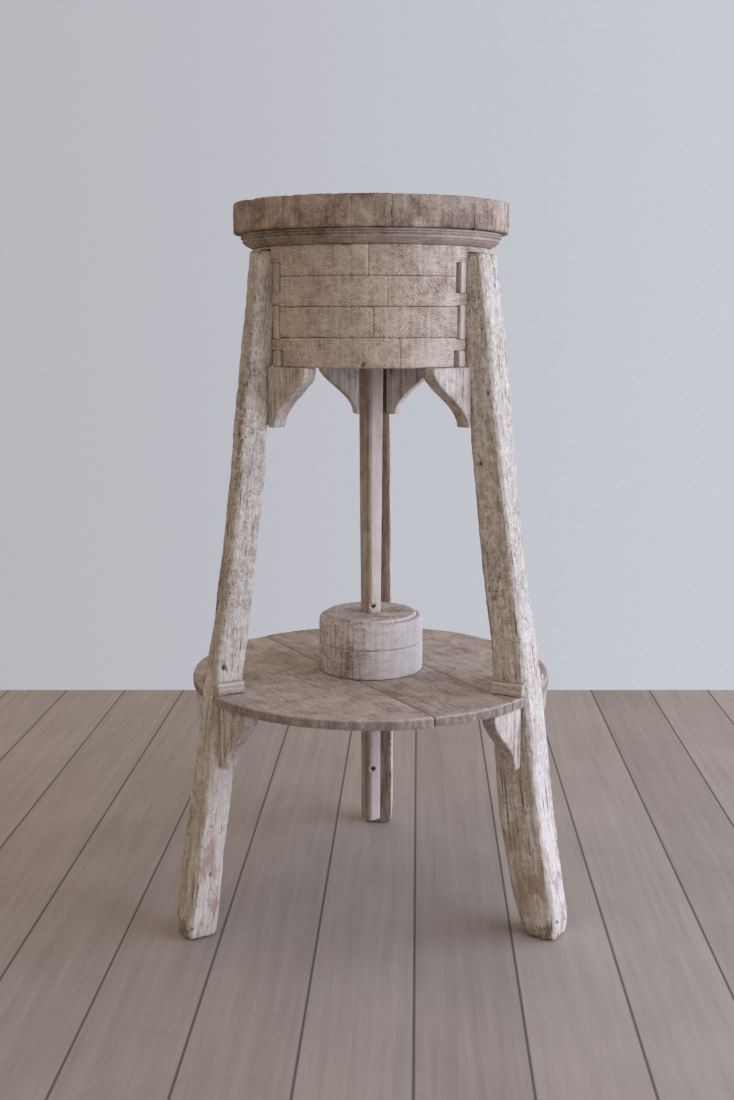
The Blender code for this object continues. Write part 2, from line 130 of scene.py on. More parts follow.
def polar(azimuth, radius=1.0):
    """A level vector, its azimuth in degrees from +X towards +Y."""
    return Vector((radius * cos(radians(azimuth)), radius * sin(radians(azimuth)), 0.0))


def body_of_node(node):
    """The moving body that the record counts the node to."""
    groups = frame["record"]["behaviour"]["bodies"]
    return next(body for body, members in groups.items() if node in members)


def remeshed(node, voxel):
    """A new object with the CAD node's shape in small even faces."""
    mesh = frame["nodes"][node].data.copy()
    mesh.materials.clear()
    piece = bpy.data.objects.new(f"{node}_worn", mesh)
    bpy.context.scene.collection.objects.link(piece)
    remesh = piece.modifiers.new("Even faces", "REMESH")
    remesh.mode = "VOXEL"
    remesh.voxel_size = voxel
    bpy.context.view_layer.update()
    evaluated = piece.evaluated_get(bpy.context.evaluated_depsgraph_get())
    piece.data = bpy.data.meshes.new_from_object(evaluated)
    piece.data.name = piece.name
    piece.modifiers.clear()
    bpy.data.meshes.remove(mesh)
    return piece


def read(collection, name, width, kind=np.float64):
    """One value of each item, as an array of that width."""
    values = np.empty(len(collection) * width, kind)
    collection.foreach_get(name, values)
    return values.reshape(-1, width)


def write_attribute(mesh, name, values):
    """A number or a vector at each point of the mesh, for its material to read."""
    kind, field = ("FLOAT", "value") if values.ndim == 1 else ("FLOAT_VECTOR", "vector")
    attribute = mesh.attributes.new(name, kind, "POINT")
    attribute.data.foreach_set(field, values.astype(np.float32).ravel())


def grain_places(points, along, pith, seed):
    """Places in the timber's own axes: Z along the grain, X and Y measured from the pith."""
    along = Vector(along).normalized()
    across = Vector((0, 0, 1)).cross(along)
    if across.length < 0.3:
        across = Vector((0, 1, 0)).cross(along)
    across.normalize()
    third = along.cross(across)
    axes = np.array([across, third, along])
    middle = (points.min(axis=0) + points.max(axis=0)) / 2
    places = (points - middle) @ axes.T
    places[:, 0] -= pith[0]
    places[:, 1] -= pith[1]
    places[:, 2] += 1.7 * (seed % 13)
    return places


class Wear:
    """How roughly one kind of piece is worn. Lengths are in metres."""

    def __init__(self, voxel, soften=2, chip=0.35, chip_size=0.022, hew=0.0, groove=0.0002,
                 pit=0.0, pit_share=0.5, swell=0.0, tight=0.0):
        self.voxel = voxel
        self.soften = soften          # rounds of smoothing over the whole piece
        self.chip = chip              # share of the edges that is broken away, 0 to 1
        self.chip_size = chip_size
        self.hew = hew                # depth of the broad hollows left by the adze
        self.groove = groove          # depth of the raised grain
        self.pit = pit                # depth of the small holes
        self.pit_share = pit_share
        self.swell = swell            # the whole surface let out, to close up joints
        self.tight = tight            # how far its joints are let into the next piece


def cut_share(points, start, end, width, seed):
    """How much of a gouge's depth each point has, 0 to 1. It runs from start to end."""
    start, end = np.array(start), np.array(end)
    run = end - start
    share = np.clip((points - start) @ run / (run @ run), 0, 1)
    wander = 0.0015 * noise(points, (60, 60, 60), seed)
    away = np.linalg.norm(points - (start + share[:, None] * run), axis=1) + wander
    return np.exp(-(np.maximum(away, 0) / width) ** 2)


def joint_share(points, normals, joints):
    """How squarely each point faces the next piece across a joint, 0 to 1."""
    if joints == "round":
        spokes = points[:, :2] - np.array(AXIS)
        across = np.stack([-spokes[:, 1], spokes[:, 0], 0 * spokes[:, 0]], axis=1)
        across /= np.linalg.norm(across, axis=1)[:, None]
    else:
        across = np.tile(np.array(joints), (len(points), 1))
    return fade(np.abs((normals * across).sum(axis=1)), 0.35, 0.8)


def sunny_share(normals):
    """How much each point faces the window light, 0 to 1, for painted light and shade."""
    return fade(normals @ np.array(polar(WINDOW_AZIMUTH)), -0.2, 0.8)


def worn(node, wear, along, pith, seed, gouges=(), foot=False, reeds=(), joints=None, heights=None):
    """A weathered copy of a CAD node, with what its material needs to know at each point.

    Along is the way the grain runs, and pith is where the middle of the trunk lay, across
    the grain from the piece's own middle. Gouges are cracks and holes. A foot is also
    broken away at the floor. Reeds are heights at which a fine groove runs all round.
    Joints is the direction across the piece's joints with its neighbours, or "round" where
    the pieces meet round the stand's axis: there the piece is let a little into the next.
    Heights are the lowest and highest it may reach, where something turns beside it.
    """
    piece = remeshed(node, wear.voxel)
    mesh = piece.data
    points = read(mesh.vertices, "co", 3)
    normals = read(mesh.vertex_normals, "vector", 3)
    edges = read(mesh.edges, "vertices", 2, np.int32)
    grain = grain_places(points, along, pith, seed)

    # Corners broken away in places: above 0 on an outer edge, below 0 in an inner one
    edge = ((points - smoothed(points, edges, 6)) * normals).sum(axis=1) / wear.voxel
    soft = smoothed(points, edges, wear.soften)
    broken = smoothed(points, edges, 14 + wear.soften * 6)
    size = 1 / wear.chip_size
    rough = fractal(grain, (size, size, size * 0.55), seed + 11)
    chips = fade(rough, 0.45 - wear.chip, 0.95 - wear.chip)
    if foot:
        low = fade(points[:, 2], 0.035, 0.004)
        chips = np.maximum(chips, low * fade(noise(points, (45, 45, 45), seed + 5), -0.2, 0.5))
    shaped = soft + (broken - soft) * chips[:, None]

    # How far each point is let in from the surface
    depth = np.full(len(points), -wear.swell)
    hollow = np.zeros(len(points))
    if wear.hew:
        depth += wear.hew * (0.5 + 0.5 * fractal(grain, (24, 24, 8), seed + 23))
    if wear.groove:
        ridges = 1 - np.abs(fractal(grain, (170, 170, 9), seed + 31))
        depth += wear.groove * fade(ridges, 0.6, 1.0)
    if wear.pit:
        holes = fractal(grain, (150, 150, 80), seed + 41, 2)
        holes = fade(holes, 1 - wear.pit_share, 1.15 - wear.pit_share)
        depth += wear.pit * holes
        hollow = np.maximum(hollow, holes)
    for start, end, width, deep in gouges:
        cut = cut_share(points, start, end, width, seed + 51)
        depth += deep * cut
        hollow = np.maximum(hollow, fade(cut, 0.1, 0.6))
    if joints is not None:
        depth -= wear.tight * joint_share(points, normals, joints)
    for height, half_width, deep in reeds:
        cut = np.exp(-((points[:, 2] - height) / half_width) ** 2)
        depth += deep * cut
        hollow = np.maximum(hollow, 0.7 * cut * (1 - np.abs(normals[:, 2])))
    shaped -= normals * depth[:, None]
    if heights:
        shaped[:, 2] = np.clip(shaped[:, 2], *heights)

    mesh.vertices.foreach_set("co", shaped.astype(np.float32).ravel())
    mesh.shade_smooth()
    mesh.update()
    write_attribute(mesh, "grain", grain)
    # Above 0 on outer edges, below 0 in inner corners and creases, where the materials paint shade
    write_attribute(mesh, "wear", np.clip(edge, -1.5, 1.5))
    # Holes, cracks and grooves, which the materials paint dark as painted shade
    write_attribute(mesh, "hollow", hollow)
    write_attribute(mesh, "tint", np.full(len(points), (seed * 0.618) % 1.0))
    write_attribute(mesh, "upright", 1 - fade(np.abs(normals[:, 2]), 0.3, 0.8))
    # How much each point faces the window light, for the materials' painted light and shade
    write_attribute(mesh, "window_facing", sunny_share(normals))
    return piece, normals


def finish_piece(piece, node, material):
    """The piece moves with the node's body and stands in for the node."""
    piece.data.materials.append(material)
    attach(piece, body_of_node(node))
    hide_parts(node)


# ---------------------------------------------------------------- materials

class Shader:
    """A material's nodes, made one after another."""

    def __init__(self, name):
        self.material = bpy.data.materials.new(name)
        self.material.use_nodes = True
        self.tree = self.material.node_tree
        self.surface = self.tree.nodes["Principled BSDF"]

    def node(self, kind, inputs=None, **settings):
        node = self.tree.nodes.new(kind)
        for name, value in settings.items():
            setattr(node, name, value)
        for key, value in (inputs or {}).items():
            if isinstance(value, bpy.types.NodeSocket):
                self.tree.links.new(value, node.inputs[key])
            else:
                node.inputs[key].default_value = value
        return node

    def attribute(self, name, output="Fac"):
        return self.node("ShaderNodeAttribute", attribute_name=name).outputs[output]

    def place(self):
        return self.node("ShaderNodeTexCoord").outputs["Object"]

    def mapped(self, vector, change, values):
        """The vector scaled or turned. Change is "Scale" or "Rotation"."""
        return self.node("ShaderNodeMapping", {"Vector": vector, change: values}).outputs[0]

    def along_x(self, vector):
        return self.node("ShaderNodeSeparateXYZ", {0: vector}).outputs["X"]

    def noise(self, vector, scale, detail=3.0, roughness=0.55, distortion=0.0):
        """Noise with cells of 1/scale metres along each axis."""
        scale = scale if isinstance(scale, tuple) else (scale, scale, scale)
        return self.node("ShaderNodeTexNoise", {
            "Vector": self.mapped(vector, "Scale", scale), "Scale": 1.0, "Detail": detail,
            "Roughness": roughness, "Distortion": distortion}).outputs["Fac"]

    def rings(self, vector, period):
        """Wandering growth rings round the grain's Z axis, about a period apart."""
        return self.node("ShaderNodeTexWave", {
            "Vector": vector, "Scale": 2 * pi / (20 * period), "Distortion": 9.0,
            "Detail": 4.0, "Detail Scale": 0.3, "Detail Roughness": 0.65,
            }, wave_type="RINGS", rings_direction="Z").outputs["Fac"]

    def math(self, operation, first, second=0.0):
        return self.node("ShaderNodeMath", {0: first, 1: second}, operation=operation).outputs[0]

    def times(self, first, second):
        return self.math("MULTIPLY", first, second)

    def fit(self, value, low, high, to_low=0.0, to_high=1.0):
        """The range from low to high, carried smoothly over to the other one."""
        return self.node("ShaderNodeMapRange", {
            0: value, 1: low, 2: high, 3: to_low, 4: to_high},
            interpolation_type="SMOOTHSTEP").outputs[0]

    def blend(self, factor, first, second):
        """From the first colour to the second. A colour given as three numbers is solid."""
        first, second = (
            colour if isinstance(colour, bpy.types.NodeSocket) else (*colour, 1.0)
            for colour in (first, second))
        return self.node("ShaderNodeMixRGB", {0: factor, 1: first, 2: second}).outputs[0]

    def ramp(self, value, *stops):
        """Each stop is (position, colour)."""
        node = self.node("ShaderNodeValToRGB", {0: value})
        elements = node.color_ramp.elements
        while len(elements) < len(stops):
            elements.new(0.5)
        for element, (position, colour) in zip(elements, stops, strict=True):
            element.position = position
            element.color = (*colour, 1.0)
        return node.outputs[0]

    def total(self, *terms):
        """0.5 plus each (value, weight) term, where the value swings round 0.5."""
        result = 0.5 - sum(weight for _, weight in terms) / 2
        for value, weight in terms:
            result = self.node("ShaderNodeMath", {0: value, 1: weight, 2: result},
                               operation="MULTIPLY_ADD").outputs[0]
        return result

    def bump(self, *layers):
        """Each layer is (height from 0 to 1, depth in metres)."""
        normal = None
        for height, depth in layers:
            inputs = {"Height": height, "Distance": depth, "Strength": 1.0}
            if normal:
                inputs["Normal"] = normal
            normal = self.node("ShaderNodeBump", inputs).outputs["Normal"]
        self.tree.links.new(normal, self.surface.inputs["Normal"])

    def colour(self, socket):
        self.tree.links.new(socket, self.surface.inputs["Base Color"])

    def roughness(self, socket):
        self.tree.links.new(socket, self.surface.inputs["Roughness"])


def scaled_colour(colour, factor):
    return tuple(factor * part for part in colour)


# The scales below are cells per metre, either all round or across and along the grain

def oak(name, dark, middle, pale, fibre=1.0, grit=0.9, streak=0.8, cloud=1.1, ring=0.18,
        drips=0.0, greyed=(0.33, 0.30, 0.28), grey_share=0.35, dirt=0.5, rim=0.0, window_paling=0.0,
        edge=0.25, crease_shade=0.45, relief=0.0003, shine=0.3):
    """Bare weathered timber. The colours run from its dark grain to its pale weathered ridges.

    Fibre to ring are the weights of its patterns, and drips that of runs down its sides.
    Grey_share, dirt, rim, window_paling, edge and crease_shade are how far it is greyed in patches,
    dirty, dark on its sides, painted paler on the faces towards the window light (painted light),
    pale on its outer edges and painted dark in its inner corners and creases (painted shade).
    Relief is the depth of the finest bumps, in metres.
    """
    s = Shader(name)
    grain, place = s.attribute("grain", "Vector"), s.place()
    fibres = s.noise(grain, (520, 520, 34), 5, 0.7)
    speckle = s.noise(grain, (760, 760, 330), 3, 0.7)
    streaks = s.noise(grain, (150, 150, 7), 4, 0.65)
    clouds = s.noise(place, 24, 6, 0.68, 0.5)
    patchy = s.fit(s.noise(place, 26, 2, 0.5), 0.4, 0.62)
    rings = s.node("ShaderNodeMix", {0: patchy, 2: 0.5, 3: s.rings(grain, RING_PERIOD)}).outputs[0]
    value = s.total((fibres, fibre), (speckle, grit), (streaks, streak), (clouds, cloud),
                    (rings, ring), (s.attribute("tint"), 0.12))
    if drips:
        runs = s.noise(place, (190, 190, 11), 4, 0.65)
        value = s.math("ADD", value, s.fit(runs, 0.3, 0.7, -drips, drips))
    colour = s.ramp(value, (0.10, dark), (0.5, middle), (0.90, pale))
    patches = s.fit(s.noise(place, 13, 4, 0.65, 0.5), 0.42, 0.68, 0.0, grey_share)
    colour = s.blend(patches, colour, greyed)
    dirty = s.fit(s.noise(place, 34, 5, 0.7, 0.4), 0.58, 0.74, 0.0, dirt)
    colour = s.blend(dirty, colour, scaled_colour(dark, 0.8))
    if rim:
        ends = s.fit(s.noise(place, (110, 110, 16), 5, 0.75), 0.30, 0.66, 0.2 * rim, rim)
        ends = s.times(ends, s.attribute("upright"))
        colour = s.blend(ends, colour, scaled_colour(dark, 1.15))
    # Painted light: the faces towards the window light are painted paler
    if window_paling:
        colour = s.blend(s.times(s.attribute("window_facing"), window_paling), colour, pale)
    pores = s.fit(s.noise(grain, (640, 640, 60), 3, 0.6), 0.62, 0.72, 0.0, 0.6)
    colour = s.blend(pores, colour, scaled_colour(dark, 0.45))
    worn_edge = s.fit(s.attribute("wear"), 0.15, 0.9, 0.0, edge)
    colour = s.blend(worn_edge, colour, pale)
    # Painted shade: inner corners and creases are darkened
    crease_darkening = s.fit(s.attribute("wear"), -0.1, -0.7, 0.0, crease_shade)
    colour = s.blend(crease_darkening, colour, scaled_colour(dark, 0.3))
    # Painted shade: holes, cracks and grooves are painted dark
    holes = s.times(s.attribute("hollow"), 0.85)
    s.colour(s.blend(holes, colour, scaled_colour(dark, 0.25)))
    s.roughness(s.fit(value, 0.2, 0.8, 0.9, 0.72 - 0.2 * shine))
    s.surface.inputs["Specular IOR Level"].default_value = 0.3 + 0.3 * shine
    s.bump((fibres, relief), (speckle, relief * 0.9), (pores, -relief * 1.5),
           (streaks, relief * 3), (clouds, relief * 4))
    return s.material


def whitewash(name):
    """Old limewash flaking off rough, weathered wood, with lichens and painted shade on faces away
    from the window light.
    """
    s = Shader(name)
    grain, place = s.attribute("grain", "Vector"), s.place()
    wear, low, window_facing = s.attribute("wear"), s.attribute("low"), s.attribute("window_facing")
    fibres = s.noise(grain, (430, 430, 38), 5, 0.72)
    speckle = s.noise(grain, (620, 620, 330), 3, 0.75)
    streaks = s.noise(grain, (140, 140, 10), 4, 0.65)
    broad = s.noise(place, 22, 5, 0.65, 0.4)

    # Bare wood, reddened low down
    value = s.total((fibres, 1.0), (speckle, 0.8), (streaks, 0.7), (broad, 0.6))
    bare = s.ramp(value, *zip(RAMP_STOPS, BARE_LEG))
    rust = s.fit(s.noise(grain, (55, 55, 12), 4, 0.7), 0.56, 0.70, 0.0, 0.55)
    bare = s.blend(s.times(rust, low), bare, RUST)

    # Limewash, painted paler low down and towards the window light: painted light
    crust = s.total((s.noise(place, 95, 5, 0.72), 1.6), (speckle, 1.5), (fibres, 1.2), (broad, 0.6))
    chalk = s.ramp(crust, *zip(RAMP_STOPS, CHALK))
    lit_paling = s.times(low, s.fit(window_facing, 0.0, 1.0, 0.3, 0.6))
    chalk = s.blend(lit_paling, chalk, LIT_CHALK)

    # What of it is left: flaked off in places, rubbed off the corners, and more towards the window
    # light and low down, as painted light
    flakes = s.total((s.noise(grain, (250, 250, 110), 5, 0.78), 1.5),
                     (s.noise(grain, (80, 80, 26), 5, 0.72), 1.5),
                     (speckle, 1.1), (s.attribute("cover_and_light"), 1.0))
    mask = s.fit(flakes, 0.38, 0.56)
    colour = s.blend(mask, bare, chalk)
    rubbed = s.fit(s.noise(grain, (90, 90, 30), 4, 0.7), 0.42, 0.58)
    rubbed = s.times(s.fit(wear, 0.25, 1.0, 0.0, 0.75), rubbed)
    colour = s.blend(rubbed, colour, bare)

    # Stains, lichens, cracks and holes on top, with painted shade on faces away from the window
    # light, in holes and in inner corners
    blush = s.fit(s.noise(grain, (32, 32, 11), 6, 0.75, 0.5), 0.47, 0.62, 0.0, 0.8)
    colour = s.blend(s.times(blush, low), colour, BLUSH)
    stain = s.fit(s.noise(grain, (70, 70, 9), 4, 0.7), 0.36, 0.60, 0.25, 0.85)
    colour = s.blend(s.times(stain, s.attribute("stained")), colour, STAIN)
    # Lichens and painted shade: olive patches kept to the faces turned from the window light
    lichen_and_shade = s.total((s.noise(place, 75, 4, 0.75), 1.1), (s.noise(grain, (45, 45, 8), 3), 0.9))
    lichen_and_shade = s.times(s.fit(lichen_and_shade, 0.42, 0.66), s.math("SUBTRACT", 1.0, window_facing))
    colour = s.blend(s.times(lichen_and_shade, 0.5), colour, LICHEN_AND_SHADE)
    cracks = s.fit(s.noise(grain, (200, 200, 9), 5, 0.7, 0.3), 0.61, 0.67, 0.0, 0.75)
    colour = s.blend(cracks, colour, CRACK)
    specks = s.fit(s.noise(grain, (330, 330, 150), 3, 0.6), 0.65, 0.71, 0.0, 0.75)
    colour = s.blend(specks, colour, SPECK)
    # Painted shade: holes and cracks are painted near black
    colour = s.blend(s.times(s.attribute("hollow"), 0.9), colour, HOLLOW_SHADE)
    # Painted shade: inner corners and creases are darkened
    s.colour(s.blend(s.fit(wear, -0.1, -0.7, 0.0, 0.6), colour, CREASE_SHADE_COLOUR))
    s.roughness(s.fit(mask, 0.0, 1.0, 0.78, 0.92))
    s.surface.inputs["Specular IOR Level"].default_value = 0.3
    s.bump((fibres, 0.0005), (speckle, 0.0005), (mask, 0.0005), (specks, -0.0010),
           (cracks, -0.0010), (streaks, 0.0010), (crust, 0.0006))
    return s.material


def hidden_timber(name, dark, pale):
    """Sawn softwood inside the drum, on CAD meshes that hold no grain of their own."""
    s = Shader(name)
    place = s.place()
    value = s.total((s.noise(place, (14, 420, 420), 4, 0.65), 0.8), (s.noise(place, 18, 3), 0.5))
    s.colour(s.ramp(value, (0.15, dark), (0.85, pale)))
    s.roughness(s.fit(value, 0.2, 0.8, 0.9, 0.75))
    s.bump((value, 0.0004))
    return s.material


def forged_iron(name):
    """Dark hammered iron with a little rust."""
    s = Shader(name)
    place = s.place()
    rust = s.noise(place, 240, 4, 0.65)
    s.colour(s.ramp(rust, (0.35, (0.035, 0.032, 0.03)), (0.55, (0.06, 0.05, 0.045)),
                    (0.75, (0.17, 0.075, 0.035))))
    s.roughness(s.fit(rust, 0.35, 0.7, 0.45, 0.85))
    s.surface.inputs["Metallic"].default_value = 0.85
    s.bump((s.noise(place, 150, 3), 0.0006))
    return s.material


# ---------------------------------------------------------------- the stand

LEG_LEAN = -0.127        # outwards per metre of height, so a leg leans in as it rises

# Share of each leg that the limewash still covers
LEG_COVER = {"front_left": 0.78, "front_right": 0.82, "back": 0.62}
# Cracks and holes: where each starts and ends, its half width and its depth
LEG_GOUGES = {
    "front_left": (((-0.200, -0.160, 0.4415), (-0.2145, -0.171, 0.4068), 0.0016, 0.005),
                   ((-0.218, -0.176, 0.421), (-0.218, -0.176, 0.419), 0.0035, 0.004)),
    "front_right": (((0.173, -0.125, 1.010), (0.173, -0.125, 1.009), 0.0018, 0.005),
                    ((0.174, -0.125, 0.999), (0.174, -0.125, 0.998), 0.0018, 0.005),
                    ((0.181, -0.123, 0.979), (0.181, -0.123, 0.977), 0.0018, 0.005),
                    ((0.185, -0.125, 0.945), (0.186, -0.126, 0.932), 0.0014, 0.005)),
}
# A knot at the drum's lower edge, and a dent near its upper edge on the right
DRUM_GOUGES = (((-0.0125, -0.205, 0.866), (-0.0110, -0.205, 0.868), 0.0030, 0.003),
               ((0.118, -0.163, 1.018), (0.120, -0.162, 1.014), 0.0020, 0.002))
# The moulding's fine grooves: heights as shares of its own, half width and depth
REEDS = (0.34, 0.60, 0.80)
REED_HALF_WIDTH, REED_DEPTH = 0.0011, 0.0012
# Azimuth of the middle of each length of the moulding
MOULDING_AZIMUTHS = (277.0, 37.0, 157.0)

RING_PERIOD = 0.0034     # between two growth rings

# From dark to pale: the legs' bare wood and what is left of the limewash on it
RAMP_STOPS = (0.12, 0.5, 0.88)
BARE_LEG = ((0.12, 0.077, 0.053), (0.375, 0.283, 0.213), (0.59, 0.50, 0.415))
CHALK = ((0.37, 0.31, 0.265), (0.615, 0.562, 0.515), (0.79, 0.765, 0.735))
# Painted light: the pale limewash low down and towards the window light
LIT_CHALK = (0.84, 0.79, 0.77)

# The legs' stains, growth and damage, and their painted shade in hollows, inner corners and on
# faces away from the window light
RUST = (0.27, 0.135, 0.095)
BLUSH = (0.44, 0.30, 0.245)
STAIN = (0.16, 0.095, 0.078)
LICHEN_AND_SHADE = (0.35, 0.305, 0.20)
CRACK = (0.105, 0.072, 0.052)
SPECK = (0.085, 0.058, 0.042)
HOLLOW_SHADE = (0.05, 0.033, 0.022)
CREASE_SHADE_COLOUR = (0.06, 0.045, 0.03)

OAK_TOP = oak("weathered_oak_top", (0.09, 0.060, 0.042), (0.315, 0.237, 0.186), (0.56, 0.475, 0.42),
              drips=0.10, cloud=1.6, streak=0.3, fibre=0.8, edge=0.12)
OAK_MOULDING = oak("weathered_oak_moulding", (0.075, 0.046, 0.036), (0.295, 0.217, 0.17),
                   (0.60, 0.50, 0.44), crease_shade=0.85, window_paling=0.4, ring=0.0, cloud=0.8)
OAK_DRUM = oak("drum_oak", (0.20, 0.145, 0.108), (0.455, 0.375, 0.305), (0.635, 0.56, 0.50),
               drips=0.10, edge=0.15, crease_shade=0.6, grey_share=0.2, greyed=(0.50, 0.45, 0.43),
               ring=0.27, dirt=0.25, cloud=1.0)
OAK_BRACKET = oak("bracket_oak", (0.16, 0.122, 0.098), (0.50, 0.435, 0.39), (0.67, 0.615, 0.58),
                  crease_shade=0.9, ring=0.3, streak=1.4, edge=0.3)
OAK_SHIM = oak("shim_oak", (0.22, 0.165, 0.125), (0.50, 0.42, 0.36), (0.68, 0.61, 0.56), window_paling=0.5,
               drips=0.1, crease_shade=0.7)
OAK_SHELF = oak("shelf_oak", (0.12, 0.088, 0.070), (0.425, 0.36, 0.335), (0.66, 0.60, 0.575),
                cloud=1.05, streak=0.45, grey_share=0.6, greyed=(0.46, 0.415, 0.40), edge=0.9,
                ring=0.06, rim=0.75, dirt=0.5)
COLLAR_WOOD = oak("collar_wood", (0.16, 0.122, 0.105), (0.42, 0.368, 0.352), (0.72, 0.69, 0.71),
                  greyed=(0.50, 0.49, 0.51), ring=0.05, window_paling=0.72, drips=0.22, cloud=1.5,
                  fibre=1.3, crease_shade=0.8)
POST_WOOD = oak("post_wood", (0.15, 0.10, 0.078), (0.42, 0.335, 0.30), (0.70, 0.63, 0.60),
                ring=0.0, grit=0.45, fibre=0.5, relief=0.00012, shine=0.8, cloud=0.9,
                streak=1.1, window_paling=0.68)
LIMEWASH = whitewash("flaking_whitewash")
PINE = oak("hidden_pine", (0.12, 0.08, 0.05), (0.30, 0.22, 0.15), (0.46, 0.36, 0.27))
PINE_INSIDE = hidden_timber("hidden_pine_inside", (0.16, 0.11, 0.07), (0.42, 0.32, 0.22))
IRON = forged_iron("iron")


def paint(node, material):
    """A new material on a CAD node that shows as it is."""
    mesh = frame["nodes"][node].data
    mesh.materials.clear()
    mesh.materials.append(material)


def build_legs():
    """Rough hewn, chipped at the corners, with the limewash flaking off."""
    wear = Wear(COARSE, soften=1, chip=0.58, chip_size=0.024, hew=0.0016, groove=0.0011,
                pit=0.0016, pit_share=0.36)
    for number, (leg, azimuth) in enumerate(LEG_AZIMUTHS.items()):
        node = f"leg_{leg}"
        low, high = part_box(node)
        height = high.z - low.z
        along = polar(azimuth, height * LEG_LEAN) + Vector((0, 0, height))
        piece, normals = worn(node, wear, along, (0.09, 0.03), 100 + number * 17,
                              LEG_GOUGES.get(leg, ()), foot=True)
        points = read(piece.data.vertices, "co", 3)
        sunny = sunny_share(normals)
        low_down = fade(points[:, 2], 0.55, 0.15)
        cover_and_light = LEG_COVER[leg] + 0.42 * fractal(points, (26, 26, 9), 7 + number)
        # Painted light: more pale limewash on the faces towards the window light, and low down
        cover_and_light += 0.22 * sunny + (0.2 * sunny + 0.12) * low_down
        cover_and_light -= 0.5 * fade(points[:, 2] + 0.02 * fractal(points, (50, 50, 50), 3), 0.045, 0.0)
        # The front of the back leg has lost most of it and is stained dark
        stained = fade(normals @ np.array(polar(270.0)), 0.2, 0.7) * (leg == "back")
        cover_and_light -= 0.9 * stained
        write_attribute(piece.data, "cover_and_light", cover_and_light)
        write_attribute(piece.data, "low", low_down)
        write_attribute(piece.data, "stained", stained)
        finish_piece(piece, node, LIMEWASH)


def build_drum():
    """Four courses of three sawn segments, each with its own pith."""
    wear = Wear(MEDIUM, soften=0, chip=0.34, chip_size=0.02, hew=0.0006, groove=0.0003,
                swell=0.0006, tight=0.0014)
    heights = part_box("drum_course_1_back")[0].z - wear.swell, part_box("drum_course_4_back")[1].z
    for course, (leg, azimuth) in product(range(1, 5), LEG_AZIMUTHS.items()):
        seed = course * 31 + len(leg)
        turn = radians(57.0 * seed)
        pith = (0.10 * cos(turn), 0.13 * sin(turn))
        node = f"drum_course_{course}_{leg}"
        piece, _ = worn(node, wear, polar(azimuth + 90), pith, seed, DRUM_GOUGES, joints="round",
                        heights=heights)
        finish_piece(piece, node, OAK_DRUM)


def build_shims():
    """Let out a little, so that no light shows between them and their mortises."""
    wear = Wear(FINE, soften=0, chip=0.05, chip_size=0.012, swell=0.0008)
    for leg, side in product(LEG_AZIMUTHS, ("left", "right")):
        node = f"leg_shim_{leg}_{side}"
        piece, _ = worn(node, wear, (0, 0, 1), (0.05, 0.02), 7 * len(node))
        finish_piece(piece, node, OAK_SHIM)


def build_brackets():
    """Sawn from boards whose grain runs upright."""
    wear = Wear(FINE, soften=1, chip=0.25, chip_size=0.016, groove=0.0002, swell=0.0006)
    for level, leg, side in product(("upper", "lower"), LEG_AZIMUTHS, ("left", "right")):
        node = f"{level}_bracket_{leg}_{side}"
        seed = 5 * len(node) + (40 if side == "left" else 0)
        piece, _ = worn(node, wear, (0, 0, 1), (0.07, 0.04), seed)
        finish_piece(piece, node, OAK_BRACKET)


def build_shelf():
    """Boards worn pale along the edge, on two battens, with cleats at the legs."""
    boards = Wear(COARSE, soften=1, chip=0.25, chip_size=0.03, hew=0.0005, groove=0.0003)
    for number, side in enumerate(("left", "middle", "right")):
        node = f"shelf_board_{side}"
        piece, _ = worn(node, boards, polar(SHELF_GRAIN), (0.03, -0.09), 300 + number)
        finish_piece(piece, node, OAK_SHELF)
    battens = Wear(COARSE, soften=2, chip=0.25)
    for side in ("front", "rear"):
        node = f"shelf_batten_{side}"
        piece, _ = worn(node, battens, polar(SHELF_GRAIN - 90), (0.05, 0.08), 310 + len(side))
        finish_piece(piece, node, PINE)
    cleats = Wear(FINE, soften=1, chip=0.3, chip_size=0.012)
    for (leg, azimuth), side in product(LEG_AZIMUTHS.items(), ("left", "right")):
        node = f"shelf_cleat_{leg}_{side}"
        piece, _ = worn(node, cleats, polar(azimuth), (0.04, 0.03), 320 + len(node))
        finish_piece(piece, node, OAK_BRACKET)


def build_collar():
    """Two turned layers, their grain a little askew to each other."""
    wear = Wear(FINE, soften=0, chip=0.2, chip_size=0.02, groove=0.0002, swell=0.0002)
    for number, layer in enumerate(("lower", "upper")):
        node = f"collar_{layer}"
        piece, _ = worn(node, wear, (1, 0.3 * number, 0), (0.06, 0.1), 400 + 9 * number)
        finish_piece(piece, node, COLLAR_WOOD)


def build_post():
    """Worn smooth by sliding. Its head and the pin stay hidden and keep their CAD meshes."""
    wear = Wear(SMOOTH, soften=2, chip=0.12, hew=0.0003, groove=0.0)
    piece, _ = worn("post", wear, (0, 0, 1), (0.01, 0.03), 500)
    finish_piece(piece, "post", POST_WOOD)
    paint("post_head", PINE_INSIDE)
    paint("pivot_pin", IRON)


